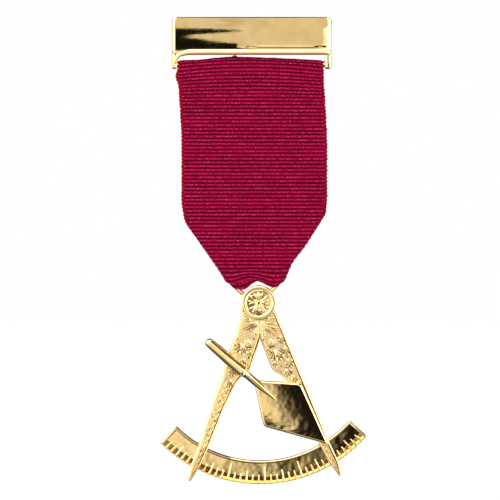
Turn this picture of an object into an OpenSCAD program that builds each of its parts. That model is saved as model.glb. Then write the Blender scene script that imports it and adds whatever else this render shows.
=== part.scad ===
// Breast jewel: a gilt bar with a brooch pin behind it, a ribbed ribbon looped over a rod and a wire
// ring, and a pendant of compasses, graduated arc and trowel that swings on the ring.
// Millimetres. +Z is up, the front faces -Y, and the origin is the middle of the pin's stem.

/* [Bar] */
// Width of the bar, over both ends
bar_w = 42.1; // [41.8:0.1:43]
// Height of the front plate
bar_h = 9.9; // [9.4:0.1:10.4]
// Depth of the case, front to back
bar_depth = 4.5; // [4.4:0.1:5]
// Thickness of the front and top plates
bar_wall = 0.9; // [0.7:0.1:1]
// Thickness of the ends and of the ears below them
end_wall = 1.5; // [1.2:0.1:1.5]
// Radius of the case's rounded corners
bar_round = 0.9; // [0.6:0.1:1.1]
// Radius of the bead along the front plate's lower edge
bead_r = 0.85; // [0.7:0.05:1]
// How far the bead stands in front of the plate
bead_proud = 0.3; // [0.1:0.05:0.4]
// Radius of an ear round the rod
ear_r = 1.25; // [1.1:0.05:1.4]

/* [Brooch pin] */
// Radius of the stem
stem_r = 0.45; // [0.35:0.05:0.5]
// Gap between the stem's centre line and the back of the case
stem_gap = 2; // [1.8:0.1:2.4]
// Height of the strip that carries hinge and catch
strip_h = 5.2; // [4.4:0.1:6]
// Thickness of the strip
strip_t = 0.8; // [0.6:0.1:1]
// Distance of the hinge knuckle and of the catch from the middle
pin_reach = 15.5; // [14:0.1:16]
// Width of the small tab that hangs from the strip behind the slot
tab_w = 1.3; // [1:0.1:2]

/* [Ribbon] */
// Width of the ribbon
ribbon_w = 38.2; // [38:0.1:38.4]
// Thickness of one layer
ribbon_t = 1; // [0.9:0.05:1]
// Half of the whole thickness where the two layers lie together
ribbon_half = 1.15; // [1.12:0.01:1.2]
// Radius of the rod in the ribbon's upper loop
rod_r = 0.75; // [0.6:0.05:0.8]
// How far the ribbon's lower part hangs to the right of its top
ribbon_shift = 0.95; // [0.9:0.05:1]

/* [Suspension ring] */
// Radius of the ring's wire
wire_r = 0.5; // [0.45:0.01:0.5]
// Bend radius at the ring's four lower corners
ring_bend = 1; // [0.9:0.05:1]
// Bend radius at the top of its arch
arch_bend = 5; // [4:0.5:6]
// Radial play of the eye round the ring's lower bar
eye_play = 0.08; // [0.05:0.01:0.1]
// Width of the eye behind the head
eye_w = 2.4; // [2:0.1:2.6]
// Outer radius of the eye
eye_r = 1.1; // [1:0.05:1.1]

/* [Compasses] */
// Radius of the head
head_r = 4.55; // [4.4:0.05:4.6]
// Half the width of the straight shoulder on the head's left side
shoulder_x = 4.83; // [4.7:0.01:5]
// Thickness of head and legs
leg_t = 1.45; // [1.4:0.05:1.6]
// Angle by which the pendant leans in its own plane
lean = 2; // [1.8:0.1:2.2]
// Angle by which it hangs back, so that its weight lies below the ring's lower bar
hang = 4.6; // [4:0.1:5]

/* [Arc] */
// Inner radius of the graduated arc
arc_in = 31.15; // [31:0.05:31.3]
// Outer radius
arc_out = 37.36; // [37.2:0.01:37.5]
// Half of the angle that the arc spans
arc_half = 46.5; // [46:0.1:47]
// Thickness of the band
arc_t = 1; // [0.9:0.05:1]
// Height of rim and graduations above the band
arc_relief = 0.25; // [0.15:0.05:0.3]
// Width of the raised rim along the inner edge
rim_w = 0.8; // [0.6:0.1:1]
// Angle between two graduations
tick_step = 2.333; // [2.3:0.001:2.35]
// Width of a short graduation
tick_w = 0.65; // [0.5:0.05:0.7]
// Lengths of the short, middle and long graduations
tick_short = 2.6; // [2.2:0.1:3]
tick_middle = 3.5; // [3.1:0.1:4]
tick_long = 4.7; // [4.2:0.1:4.9]

/* [Trowel] */
// Angle of the trowel below the pendant's horizontal
trowel_angle = 42; // [41:0.5:43]
// Length of the kite blade
blade_l = 26.1; // [25.5:0.1:26.3]
// Distance from its back corner to its widest place
blade_wide_at = 9.9; // [9.5:0.1:10.3]
// Half of its greatest width
blade_half = 7.55; // [7.3:0.05:7.7]
// Thickness of the blade
blade_t = 0.9; // [0.8:0.05:1]
// Radius of the handle at its rounded end and at its ferrule
handle_r_end = 1.19; // [1.1:0.01:1.3]
handle_r = 1.62; // [1.5:0.01:1.7]
// Radius of the shank
shank_r = 0.91; // [0.8:0.01:1]

/* [Hidden] */
$fn = 48;
gap = 0.05;
gold = "#e3c07a";
crimson = "#a3003c";

// Depths are distances in front of the origin, so a depth d is the plane Y = -d.
case_back = stem_gap;
case_front = case_back + bar_depth;
ribbon_set = 2.3;
ribbon_depth = case_back + ribbon_set;
rod_gap = 0.1;
rod_drop = 2.5;
rod_z = -bar_h / 2 - rod_drop;
ear_bottom = rod_z - ear_r;
end_in = bar_w / 2 - end_wall;

// Place of the pendant: the middle of its head, and the depths of its parts.
head_x = 1.86;
head_z = -70.26;
head_reach = 1.2;
leg_back = ribbon_depth + head_reach;
leg_front = leg_back + leg_t;
arc_back = leg_back - 4 * gap;
arc_front = arc_back + arc_t;
blade_back = leg_front + 2 * gap;
blade_front = blade_back + blade_t;
arc_centre = -10.9;

// The ring as a closed path in X and Z, anticlockwise from the left end of its lower bar.
// Columns: x, z, bend radius. Its lower bar lies a little above the middle of the head.
bar_rise = 1.11;
bar_z = head_z + bar_rise;
ring_path = [
    [-1.12, bar_z, ring_bend],
    [3.15, bar_z, ring_bend],
    [7.85, bar_z + 4.4, ring_bend],
    [0.99, bar_z + 6.4, arch_bend],
    [-5.95, bar_z + 4.3, ring_bend],
];
eye_x = (ring_path[0].x + ring_path[1].x) / 2;

// The ribbon's lower edge. Columns: x from its middle line, z of the edge.
ribbon_edge = [
    [-ribbon_w / 2, -43.3],
    [-18.6, -47.5],
    [-18.05, -49.6],
    [-16.5, -51.7],
    [-13.8, -55.9],
    [-10.7, -60.2],
    [-7.8, -64.2],
    [-6.6, -65.6],
    [-5.6, -66.4],
    [-4.2, -66.8],
    [-2.8, -67.0],
    [-1.7, -66.2],
    [-0.5, -65.1],
    [0.8, -64.5],
    [2.1, -65.1],
    [3.4, -66.0],
    [4.6, -66.3],
    [5.9, -66.1],
    [7.1, -65.4],
    [8.1, -64.3],
    [9.9, -60.2],
    [13.1, -55.9],
    [16, -51.7],
    [17.3, -49.2],
    [18, -47.6],
    [18.6, -45.6],
    [ribbon_w / 2, -41.2],
];

// One leg on the pendant's right, from the crotch down the inner edge to the point and back up.
// Columns: across, along, and which way it moves when the outline grows.
leg_edge = [
    [0, -9.7, 0],
    [2.8, -17.4, -1],
    [4.8, -19, -1],
    [6.5, -20.7, -1],
    [10.15, -27.6, -1],
    [14.5, -37.6, -1],
    [17.3, -43.3, -1],
    [20.05, -46.1, 0],
    [19.5, -42.8, 1],
    [17.2, -37.4, 1],
    [4.5, -3, 1],
];

module bar_case() {
    color(gold) intersection() {
        union() {
            difference() {
                case_block();
                translate([-end_in, -case_front + bar_wall, -bar_h])
                    cube([2 * end_in, bar_depth, 1.5 * bar_h - bar_wall]);
            }
            bead();
            for (side = [-1, 1]) ear(side);
        }
        front_outline();
    }
}

// The case before it is hollowed, its front upright edges rounded.
module case_block() {
    x = bar_w / 2;
    translate([-x, -case_front + bar_round, -bar_h / 2])
        cube([bar_w, bar_depth - bar_round, bar_h]);
    translate([-x + bar_round, -case_front, -bar_h / 2])
        cube([bar_w - 2 * bar_round, bar_depth, bar_h]);
    for (side = [-1, 1])
        translate([side * (x - bar_round), -case_front + bar_round, -bar_h / 2])
            cylinder(r = bar_round, h = bar_h);
}

module bead() {
    half = bar_w / 2 - bar_round;
    translate([-half, -case_front - bead_proud + bead_r, -bar_h / 2 + bead_r])
        rotate([0, 90, 0])
            cylinder(r = bead_r, h = 2 * half);
}

module ear(side) {
    inner = side > 0 ? end_in : -bar_w / 2;
    difference() {
        union() {
            translate([inner, -ribbon_depth, rod_z])
                rotate([0, 90, 0])
                    cylinder(r = ear_r, h = end_wall);
            translate([inner, -ribbon_depth - ear_r, rod_z])
                cube([end_wall, 2 * ear_r, -rod_z]);
        }
        translate([inner - 1, -ribbon_depth, rod_z])
            rotate([0, 90, 0])
                cylinder(r = rod_r + gap, h = end_wall + 2);
    }
}

// Seen from the front: all four outer corners of case and ears are rounded.
module front_outline() {
    x = bar_w / 2;
    depth = bar_depth + 2;
    stand() translate([0, 0, case_back - 1]) {
        translate([-x, ear_bottom + bar_round, 0])
            cube([bar_w, bar_h / 2 - ear_bottom - 2 * bar_round, depth]);
        translate([-x + bar_round, ear_bottom, 0])
            cube([bar_w - 2 * bar_round, bar_h / 2 - ear_bottom, depth]);
        for (side = [-1, 1], z = [ear_bottom + bar_round, bar_h / 2 - bar_round])
            translate([side * (x - bar_round), z, 0])
                cylinder(r = bar_round, h = depth);
    }
}

module brooch_pin() {
    strip_half = end_in - gap;
    knuckle_r = 0.95;
    tab_x = -4.55;
    tab_drop = 5.75;
    point_l = 2;
    color(gold) {
        translate([-strip_half, -case_back - gap - strip_t, -strip_h / 2])
            cube([2 * strip_half, strip_t, strip_h]);
        translate([tab_x - tab_w / 2, -case_back - gap - strip_t, -tab_drop])
            cube([tab_w, strip_t, tab_drop]);
        translate([pin_reach, 0, -strip_h / 4])
            cylinder(r = knuckle_r, h = strip_h / 2);
        translate([pin_reach - knuckle_r, -case_back - gap, -strip_h / 4])
            cube([2 * knuckle_r, case_back + gap, strip_h / 2]);
        translate([-pin_reach, 0, 0])
            rotate([0, 90, 0])
                cylinder(r = stem_r, h = 2 * pin_reach);
        translate([-pin_reach, 0, 0])
            rotate([0, -90, 0])
                cylinder(r1 = stem_r, r2 = 0.1, h = point_l);
        catch();
    }
}

// A hook round the stem, open below, on a post from the strip.
module catch() {
    hook_w = 1.8;
    hook_in = stem_r + 0.15;
    hook_out = hook_in + 0.65;
    translate([-pin_reach + 0.5, 0, 0]) {
        difference() {
            rotate([0, 90, 0])
                cylinder(r = hook_out, h = hook_w);
            translate([-1, 0, 0])
                rotate([0, 90, 0])
                    cylinder(r = hook_in, h = hook_w + 2);
            translate([-1, -hook_in, -2 * hook_out])
                cube([hook_w + 2, 2 * hook_in, 2 * hook_out]);
        }
        translate([0, -case_back - gap - strip_t / 2, -hook_out / 2])
            cube([hook_w, case_back + gap + strip_t / 2 - (hook_in + hook_out) / 2, hook_out]);
    }
}

module ribbon_rod() {
    color(gold)
        translate([-bar_w / 2 + gap, -ribbon_depth, rod_z])
            rotate([0, 90, 0])
                cylinder(r = rod_r, h = bar_w - 2 * gap);
}

function smooth(s) = s <= 0 ? 0 : s >= 1 ? 1 : s * s * (3 - 2 * s);

// The ribbon hangs a little to the right below its top.
function ribbon_x(z) =
    let (top_x = -0.25, drop = 22)
    top_x + ribbon_shift * smooth((rod_z - z) / drop);

// Half of the ribbon's whole thickness at a height, for a place x whose lower edge is at z = low.
// It is fuller round the rod and, in the stretch that the ring spans, round the ring.
function half_at(x, z, low) =
    let (rod_taper = 9,
         fold_taper = 6,
         ring_end = 10,
         ring_blend = 3,
         top = rod_r + rod_gap + ribbon_t,
         ring = wire_r + gap + ribbon_t,
         end = ribbon_half + (ring - ribbon_half) * smooth((ring_end - abs(x - eye_x)) / ring_blend))
    ribbon_half + (top - ribbon_half) * (1 - smooth((rod_z - z) / rod_taper))
        + (end - ribbon_half) * (1 - smooth((z - low) / fold_taper));

// The loop seen from the side at one place x, inset by a distance: over the rod, down the front,
// round the lower fold and up the back.
function loop_points(x, low, inset) =
    let (fold_r = half_at(x, low, low),
         fold_z = low + fold_r,
         top_r = half_at(x, rod_z, low),
         steps = 9,
         levels = 8)
    concat(
        [for (i = [0:steps - 1])
            let (a = 180 * i / steps)
            [rod_z + (top_r - inset) * sin(a), -cos(a) * (top_r - inset)]],
        [for (i = [0:levels - 1])
            let (z = rod_z + (fold_z - rod_z) * i / levels)
            [z, half_at(x, z, low) - inset]],
        [for (i = [0:steps - 1])
            let (a = 180 * i / steps)
            [fold_z - (fold_r - inset) * sin(a), cos(a) * (fold_r - inset)]],
        [for (i = [0:levels - 1])
            let (z = fold_z + (rod_z - fold_z) * i / levels)
            [z, inset - half_at(x, z, low)]]
    );

module ribbon() {
    rows = len(ribbon_edge);
    per_loop = len(loop_points(0, -60, 0));
    points = [for (inset = [0, ribbon_t], row = ribbon_edge, p = loop_points(row.x, row.y, inset))
        [row.x + ribbon_x(p.x), -ribbon_depth - p.y, p.x]];
    last = rows - 1;
    function at(wall, row, k) = (wall * rows + row) * per_loop + k % per_loop;
    skins = [for (row = [0:last - 1], k = [0:per_loop - 1], face = [
        [at(0, row, k), at(0, row + 1, k), at(0, row, k + 1)],
        [at(0, row, k + 1), at(0, row + 1, k), at(0, row + 1, k + 1)],
        [at(1, row, k), at(1, row, k + 1), at(1, row + 1, k)],
        [at(1, row, k + 1), at(1, row + 1, k + 1), at(1, row + 1, k)],
    ]) face];
    ends = [for (k = [0:per_loop - 1], face = [
        [at(0, 0, k), at(0, 0, k + 1), at(1, 0, k)],
        [at(0, 0, k + 1), at(1, 0, k + 1), at(1, 0, k)],
        [at(0, last, k), at(1, last, k), at(0, last, k + 1)],
        [at(0, last, k + 1), at(1, last, k), at(1, last, k + 1)],
    ]) face];
    color(crimson) difference() {
        polyhedron(points, concat(skins, ends), convexity = 6);
        wire_loop(wire_r + 2 * gap, 16);
    }
}

module suspension_ring() {
    color(gold) wire_loop(wire_r, $fn);
}

// A closed wire along ring_path: straight stretches whose ends lie inside slightly fuller bends.
module wire_loop(r, facets) {
    swell = 0.01;
    count = len(ring_path);
    function flat(i) = let (p = ring_path[(i + count) % count]) [p.x, p.y];
    function heading(i) = let (d = flat(i + 1) - flat(i)) atan2(d.y, d.x);
    function turn(i) = (heading(i) - heading(i - 1) + 720) % 360;
    function setback(i) = ring_path[i % count][2] * tan(turn(i) / 2);
    stand() translate([0, 0, ribbon_depth])
        for (i = [0:count - 1]) {
            a = heading(i);
            bend = ring_path[i][2];
            start = flat(i) + setback(i) * [cos(a), sin(a)];
            run = norm(flat(i + 1) - flat(i)) - setback(i) - setback(i + 1);
            translate([start.x, start.y, 0])
                rotate([0, 0, a])
                    rotate([0, 90, 0])
                        translate([0, 0, -gap])
                            cylinder(r = r, h = run + 2 * gap, $fn = facets);
            translate([start.x - bend * sin(a), start.y + bend * cos(a), 0])
                rotate([0, 0, heading(i - 1) - 90])
                    rotate_extrude(angle = turn(i))
                        translate([bend, 0])
                            circle(r = r + swell, $fn = facets);
        }
}

// Drawings made flat, in X and Y with depth upwards, are stood up to face -Y.
module stand() {
    rotate([90, 0, 0]) children();
}

module in_pendant() {
    hung()
        translate([head_x, 0, head_z])
            rotate([0, -lean, 0])
                stand() children();
}

// Turns the pendant about the ring's lower bar, from upright to the way it hangs.
module hung() {
    translate([0, -ribbon_depth, bar_z])
        rotate([hang, 0, 0])
            translate([0, ribbon_depth, -bar_z])
                children();
}

module leg_outline(side, grow) {
    polygon([for (p = leg_edge) [side * (p.x + grow * p.z), p.y]]);
}

module legs(grow = 0) {
    for (side = [-1, 1])
        linear_extrude(leg_t)
            leg_outline(side, grow);
}

module compasses() {
    shoulder_top = 2.3;
    shoulder_low = -3.9;
    color(gold) {
        difference() {
            in_pendant() translate([0, 0, leg_back]) {
                legs();
                cylinder(r = head_r, h = leg_t);
                linear_extrude(leg_t)
                    polygon([[-shoulder_x, shoulder_top], [-shoulder_x, shoulder_low], [0, -9.7],
                             [4.6, -3.3], [0, shoulder_top]]);
            }
            in_pendant() translate([0, arc_centre, leg_back - 1])
                difference() {
                    cylinder(r = arc_out + gap, h = arc_front - leg_back + 1 + gap, $fn = 180);
                    translate([0, 0, -1])
                        cylinder(r = arc_in - gap, h = leg_t + 3, $fn = 180);
                }
        }
        in_pendant() translate([0, 0, leg_front]) rosette();
        hung() eye();
    }
}

// Raised rim, four petals and a centre boss on the head.
module rosette() {
    rim_out = head_r - 0.3;
    rim_in = rim_out - 0.55;
    petal_r = 1.15;
    petal_at = 1.95;
    relief = 0.3;
    difference() {
        cylinder(r = rim_out, h = relief);
        translate([0, 0, -1])
            cylinder(r = rim_in, h = relief + 2);
    }
    for (a = [0:90:270])
        rotate([0, 0, a])
            translate([petal_at, 0, 0])
                cylinder(r = petal_r, h = relief);
    cylinder(r = 0.75, h = 1.5 * relief);
}

// The eye behind the head, round the ring's lower bar.
module eye() {
    saddle_h = 1.8;
    difference() {
        union() {
            translate([eye_x - eye_w / 2, -ribbon_depth, bar_z])
                rotate([0, 90, 0])
                    cylinder(r = eye_r, h = eye_w);
            translate([eye_x - eye_w / 2, -leg_back - gap, bar_z - saddle_h / 2])
                cube([eye_w, leg_back + gap - ribbon_depth, saddle_h]);
        }
        translate([eye_x - eye_w, -ribbon_depth, bar_z])
            rotate([0, 90, 0])
                cylinder(r = wire_r + eye_play, h = 2 * eye_w);
    }
}

module arc() {
    color(gold) in_pendant() {
        translate([0, arc_centre, arc_back])
            arc_band(arc_in, arc_out, arc_t);
        difference() {
            translate([0, arc_centre, arc_front]) {
                arc_band(arc_in, arc_in + rim_w, arc_relief);
                graduations();
            }
            translate([0, 0, leg_back]) legs(2 * gap);
        }
    }
}

// A piece of a flat ring, its ends cut along the radius.
module arc_band(r_in, r_out, h) {
    rotate([0, 0, -90 - arc_half])
        rotate_extrude(angle = 2 * arc_half, $fn = 180)
            translate([r_in, 0])
                square([r_out - r_in, h]);
}

module graduations() {
    count = floor((arc_half - 1) / tick_step);
    edge = 0.15;
    for (i = [-count:count]) {
        l = i % 6 == 0 ? tick_long : i % 3 == 0 ? tick_middle : tick_short;
        rotate([0, 0, i * tick_step - 90])
            translate([arc_out - edge - l, -tick_w / 2, 0])
                cube([l, tick_w, arc_relief]);
    }
}

module trowel() {
    back_corner = [-2, -20.6];
    color(gold) in_pendant()
        translate([back_corner.x, back_corner.y, 0])
            rotate([0, 0, -trowel_angle]) {
                translate([0, 0, blade_back])
                    linear_extrude(blade_t)
                        polygon([[0, 0], [blade_wide_at, -blade_half], [blade_l, 0],
                                 [blade_wide_at, blade_half]]);
                intersection() {
                    translate([0, 0, blade_front + 0.1])
                        rotate([0, 90, 0])
                            handle();
                    translate([-20, -5, blade_back])
                        cube([40, 10, 10]);
                }
            }
}

// Handle, ferrule and tapering shank, turned about one axis.
module handle() {
    handle_end = -16.5;
    ferrule_at = -3.6;
    collar_r = 1.1;
    collar_at = -2.5;
    taper_at = 1;
    point_at = 8.15;
    rotate_extrude()
        polygon([[0, handle_end + handle_r_end], [handle_r_end, handle_end + handle_r_end],
                 [handle_r, ferrule_at - 0.4], [collar_r + 0.2, ferrule_at], [collar_r, ferrule_at],
                 [collar_r, collar_at], [shank_r, collar_at + 0.2], [shank_r, taper_at],
                 [0.2, point_at], [0, point_at]]);
    translate([0, 0, handle_end + handle_r_end])
        sphere(r = handle_r_end);
}

bar_case();
brooch_pin();
ribbon_rod();
ribbon();
suspension_ring();
compasses();
arc();
trowel();
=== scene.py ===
import math

import bmesh
import bpy
from mathutils import Matrix, Vector, noise


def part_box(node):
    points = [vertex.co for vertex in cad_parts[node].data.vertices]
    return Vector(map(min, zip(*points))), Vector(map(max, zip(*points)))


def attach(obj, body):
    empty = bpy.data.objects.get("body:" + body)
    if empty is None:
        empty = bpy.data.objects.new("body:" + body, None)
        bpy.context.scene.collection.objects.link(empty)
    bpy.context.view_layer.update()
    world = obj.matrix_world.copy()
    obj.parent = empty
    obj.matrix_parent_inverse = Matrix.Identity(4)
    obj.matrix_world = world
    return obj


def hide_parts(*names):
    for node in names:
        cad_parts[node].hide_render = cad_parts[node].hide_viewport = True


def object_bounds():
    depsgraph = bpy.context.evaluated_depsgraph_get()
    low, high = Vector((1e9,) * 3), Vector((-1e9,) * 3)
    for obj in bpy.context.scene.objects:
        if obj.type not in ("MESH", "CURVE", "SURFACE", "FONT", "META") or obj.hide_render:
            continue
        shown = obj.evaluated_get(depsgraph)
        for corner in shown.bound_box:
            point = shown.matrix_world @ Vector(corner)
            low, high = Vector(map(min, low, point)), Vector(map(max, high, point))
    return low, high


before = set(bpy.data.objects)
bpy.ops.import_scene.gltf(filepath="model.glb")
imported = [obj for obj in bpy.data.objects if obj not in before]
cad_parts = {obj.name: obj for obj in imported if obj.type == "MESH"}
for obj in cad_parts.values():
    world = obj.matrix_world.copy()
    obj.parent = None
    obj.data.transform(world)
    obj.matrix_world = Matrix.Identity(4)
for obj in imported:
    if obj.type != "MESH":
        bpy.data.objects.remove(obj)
cad_low, cad_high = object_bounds()

# The camera stands level with the middle of the jewel and square to its front, with a long lens,
# as in the photograph. The jewel hangs, so nothing but air is near it.
MM = 0.001
PICTURE_WIDE = 132 * MM
PICTURE_MIDDLE = Vector((-0.46 * MM, -5 * MM, -56.5 * MM))
CAMERA_AWAY = 0.9
camera_data = bpy.data.cameras.new("camera")
camera_data.sensor_width = 36
camera_data.lens = camera_data.sensor_width * CAMERA_AWAY / PICTURE_WIDE
camera_data.clip_start = 0.01
camera = bpy.data.objects.new("camera", camera_data)
camera.location = PICTURE_MIDDLE + Vector((0, -CAMERA_AWAY, 0))
camera.rotation_euler = (math.radians(90), 0, 0)
bpy.context.scene.collection.objects.link(camera)
bpy.context.scene.camera = camera

# The studio is a white tent round the jewel, with dark flags in it, because polished gold only shows
# what stands round it. The lens sees plain white. Angles are degrees to the right of the lens and up.
world = bpy.data.worlds.new("studio")
bpy.context.scene.world = world
world.use_nodes = True
studio = world.node_tree
studio.nodes.clear()


def add(tree, kind, inputs=None, **settings):
    """A shader node. Each of its inputs is a plain value or the output of another node."""
    made = tree.nodes.new("ShaderNode" + kind)
    for name, value in settings.items():
        setattr(made, name, value)
    for name, value in (inputs or {}).items():
        if isinstance(value, bpy.types.NodeSocket):
            tree.links.new(value, made.inputs[name])
        else:
            made.inputs[name].default_value = value
    return made


def math_of(tree, operation, *values):
    """The result of a Math node on one or two values."""
    return add(tree, "Math", dict(enumerate(values)), operation=operation).outputs[0]


def ramp_of(tree, value, low, high, start=0.0, end=1.0):
    """A smooth step of a value from start, below low, to end, above high."""
    node = add(tree, "MapRange", {0: value, 1: low, 2: high, 3: start, 4: end})
    node.interpolation_type = "SMOOTHSTEP"
    return node.outputs[0]


axes = add(studio, "SeparateXYZ", {0: add(studio, "TexCoord").outputs["Generated"]}).outputs
to_front = math_of(studio, "MULTIPLY", axes["Y"], -1.0)
around = math_of(studio, "DEGREES", math_of(studio, "ARCTAN2", axes["X"], to_front))
above = math_of(studio, "DEGREES", math_of(studio, "ARCSINE", axes["Z"]))
behind = math_of(studio, "SUBTRACT", 180.0, math_of(studio, "ABSOLUTE", around))


def between(value, low, high, soft):
    """1 where a value lies between low and high, with soft edges, and 0 elsewhere."""
    rise = ramp_of(studio, value, low - soft / 2, low + soft / 2)
    fall = ramp_of(studio, value, high - soft / 2, high + soft / 2, 1.0, 0.0)
    return math_of(studio, "MULTIPLY", rise, fall)


def card(light, brightness, left, right, low, high, soft_across, soft_up, across):
    """The light with a card in front of it, from left to right and from low to high."""
    mask = math_of(studio, "MULTIPLY", between(across, left, right, soft_across),
                   between(above, low, high, soft_up))
    blend = add(studio, "Mix", {0: mask, 2: light, 3: brightness}, data_type="FLOAT")
    return blend.outputs[0]


# Brightness by height. Columns: degrees up, brightness. A colour ramp holds no more than 1, so the
# brightness is divided by its top value in the ramp and multiplied by it after.
TENT_TOP = 5.0
TENT = [(-90, 0.04), (-66, 0.05), (-50, 0.15), (-38, 0.5), (-22, 1.15), (-8, 1.0), (0, 0.76), (8, 0.84),
        (16, 1.7), (40, 3.2), (77, 3.2), (81, 0.3), (90, 0.05)]
height = add(studio, "MapRange", {0: above, 1: -90.0, 2: 90.0}).outputs[0]
tent_ramp = add(studio, "ValToRGB", {0: height})
stops = tent_ramp.color_ramp.elements
while len(stops) < len(TENT):
    stops.new(0.5)
for stop, (degrees_up, brightness) in zip(stops, TENT):
    stop.position = (degrees_up + 90) / 180
    stop.color = (*[brightness / TENT_TOP] * 3, 1)
tent = math_of(studio, "MULTIPLY", tent_ramp.outputs[0], TENT_TOP)

# Bright cards and dark flags in front of the tent. Columns: brightness, left, right, low, high, softness
# across, softness up, and whether across is counted from the lens or from straight behind.
CARDS = [(4.4, -84, -28, -10, 70, 10, 20, around), (4.4, 28, 84, -30, 26, 10, 14, around),
         (2.6, 8, 21, 4, 20, 4, 5, around), (1.5, -26, -7, -22, -5, 4, 4, around),
         (0.05, -181, -92, -62, -8, 14, 14, around), (0.04, -10, 34, -5, 34, 8, 8, behind),
         (0.14, 0, 20, -17, -5, 2.4, 3, around), (0.012, 1.3, 20, -17, -5, 1.2, 3, around),
         (0.015, -3, 20, -21, -13.8, 2, 0.8, around), (0.05, 50, 82, -40, 30, 14, 20, behind),
         (0.06, -10, 90, 30, 88, 10, 10, behind), (0.17, 27, 142, 25, 60, 4, 6, around),
         (0.03, 20, 28, 19, 44, 3, 4, around)]
for flag in CARDS:
    tent = card(tent, *flag)

# Two pointed dark shapes beside the lens, which the flat front of the bar shows. Columns: degrees up,
# where the shape ends in degrees to the right. Streaks of noise make the ends ragged.
TONGUE_LOW = -1.0
TONGUE_HIGH = 7.0
TONGUE_REACH = 12.0
TONGUES = [(-1, -12), (1.0, -12), (1.15, -0.1), (1.75, -0.02), (2.2, -0.05), (2.36, -0.8), (2.49, -1.6),
           (2.77, -2.3), (3.01, -2.85), (3.27, -3.5), (3.54, -3.7), (3.74, -3.3), (3.93, -2.4), (4.05, -1.7),
           (4.24, -1.0), (4.38, -0.35), (4.44, -0.7), (4.57, -1.6), (4.68, -2.4), (4.75, -3.4), (4.8, -12),
           (7, -12)]
streak_at = add(studio, "CombineXYZ", {0: math_of(studio, "MULTIPLY", around, 0.4),
                                       1: math_of(studio, "MULTIPLY", above, 9.0)}).outputs[0]
streaks = add(studio, "TexNoise", {"Vector": streak_at, "Scale": 1.0, "Detail": 3.0}).outputs[0]
shelf = add(studio, "MapRange", {0: above, 1: TONGUE_LOW, 2: TONGUE_HIGH}).outputs[0]
tongue_curve = add(studio, "FloatCurve", {1: shelf})
points = tongue_curve.mapping.curves[0].points
while len(points) < len(TONGUES):
    points.new(0.5, 0.5)
for point, (degrees_up, degrees_right) in zip(points, TONGUES):
    point.location = ((degrees_up - TONGUE_LOW) / (TONGUE_HIGH - TONGUE_LOW),
                      (degrees_right + TONGUE_REACH) / TONGUE_REACH)
    point.handle_type = "VECTOR"
tongue_curve.mapping.update()
tip = math_of(studio, "MULTIPLY", tongue_curve.outputs[0], TONGUE_REACH)
tip = math_of(studio, "SUBTRACT", tip, TONGUE_REACH)
ragged = math_of(studio, "MULTIPLY", math_of(studio, "SUBTRACT", streaks, 0.5), 1.3)
past_tip = math_of(studio, "SUBTRACT", around, math_of(studio, "ADD", tip, ragged))
inside = math_of(studio, "MULTIPLY", ramp_of(studio, past_tip, -0.2, 0.2, 1.0, 0.0),
                 ramp_of(studio, around, -11, -9))
inside = math_of(studio, "MULTIPLY", inside, between(above, 1.0, 4.85, 0.1))
tent = add(studio, "Mix", {0: inside, 2: tent, 3: 0.008}, data_type="FLOAT").outputs[0]
# A thin veil of streaks above the shapes.
veil = math_of(studio, "MULTIPLY", between(around, -2.8, 1.0, 1.0), between(above, 5.0, 6.6, 0.5))
veil = math_of(studio, "MULTIPLY", veil, ramp_of(studio, streaks, 0.5, 0.6))
tent = add(studio, "Mix", {0: veil, 2: tent, 3: 0.5}, data_type="FLOAT").outputs[0]

# Polished metal shows the tent, and everything else gets an even white light.
ray = add(studio, "LightPath").outputs
seen_by = add(studio, "Mix", {0: ray["Is Glossy Ray"], 2: 1.06, 3: tent}, data_type="FLOAT").outputs[0]
seen_by = add(studio, "Mix", {0: ray["Is Camera Ray"], 2: seen_by, 3: 1.0}, data_type="FLOAT").outputs[0]
background = add(studio, "Background", {0: (1, 1, 1, 1), 1: seen_by})
studio.links.new(background.outputs[0], add(studio, "OutputWorld").inputs[0])
bpy.context.scene.view_settings.view_transform = "Standard"

# A wide softbox above and in front of the jewel lights the ribs of the ribbon and the floor. Polished
# metal doesn't show it.
key = bpy.data.lights.new("softbox", "AREA")
key.shape = "RECTANGLE"
key.size = 0.9
key.size_y = 0.5
key.energy = 9
softbox = bpy.data.objects.new("softbox", key)
softbox.location = (-0.3, -0.85, 0.62)
softbox.rotation_euler = (softbox.location - PICTURE_MIDDLE).to_track_quat("Z", "Y").to_euler()
softbox.visible_glossy = False
bpy.context.scene.collection.objects.link(softbox)

# A pale floor, a hand's breadth below the point of the jewel, because the jewel hangs.
FLOOR_BELOW = 80 * MM
FLOOR_SIZE = 6
floor_bm = bmesh.new()
bmesh.ops.create_grid(floor_bm, x_segments=1, y_segments=1, size=FLOOR_SIZE,
                      matrix=Matrix.Translation((0, 0, cad_low.z - FLOOR_BELOW)))
floor_mesh = bpy.data.meshes.new("floor")
floor_bm.to_mesh(floor_mesh)
floor_bm.free()
floor = bpy.data.objects.new("floor", floor_mesh)
floor.visible_glossy = False
bpy.context.scene.collection.objects.link(floor)
paper = bpy.data.materials.new("floor paper")
paper.use_nodes = True
paper.node_tree.nodes["Principled BSDF"].inputs["Base Color"].default_value = (0.95, 0.95, 0.95, 1)
paper.node_tree.nodes["Principled BSDF"].inputs["Roughness"].default_value = 0.9
floor_mesh.materials.append(paper)

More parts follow.
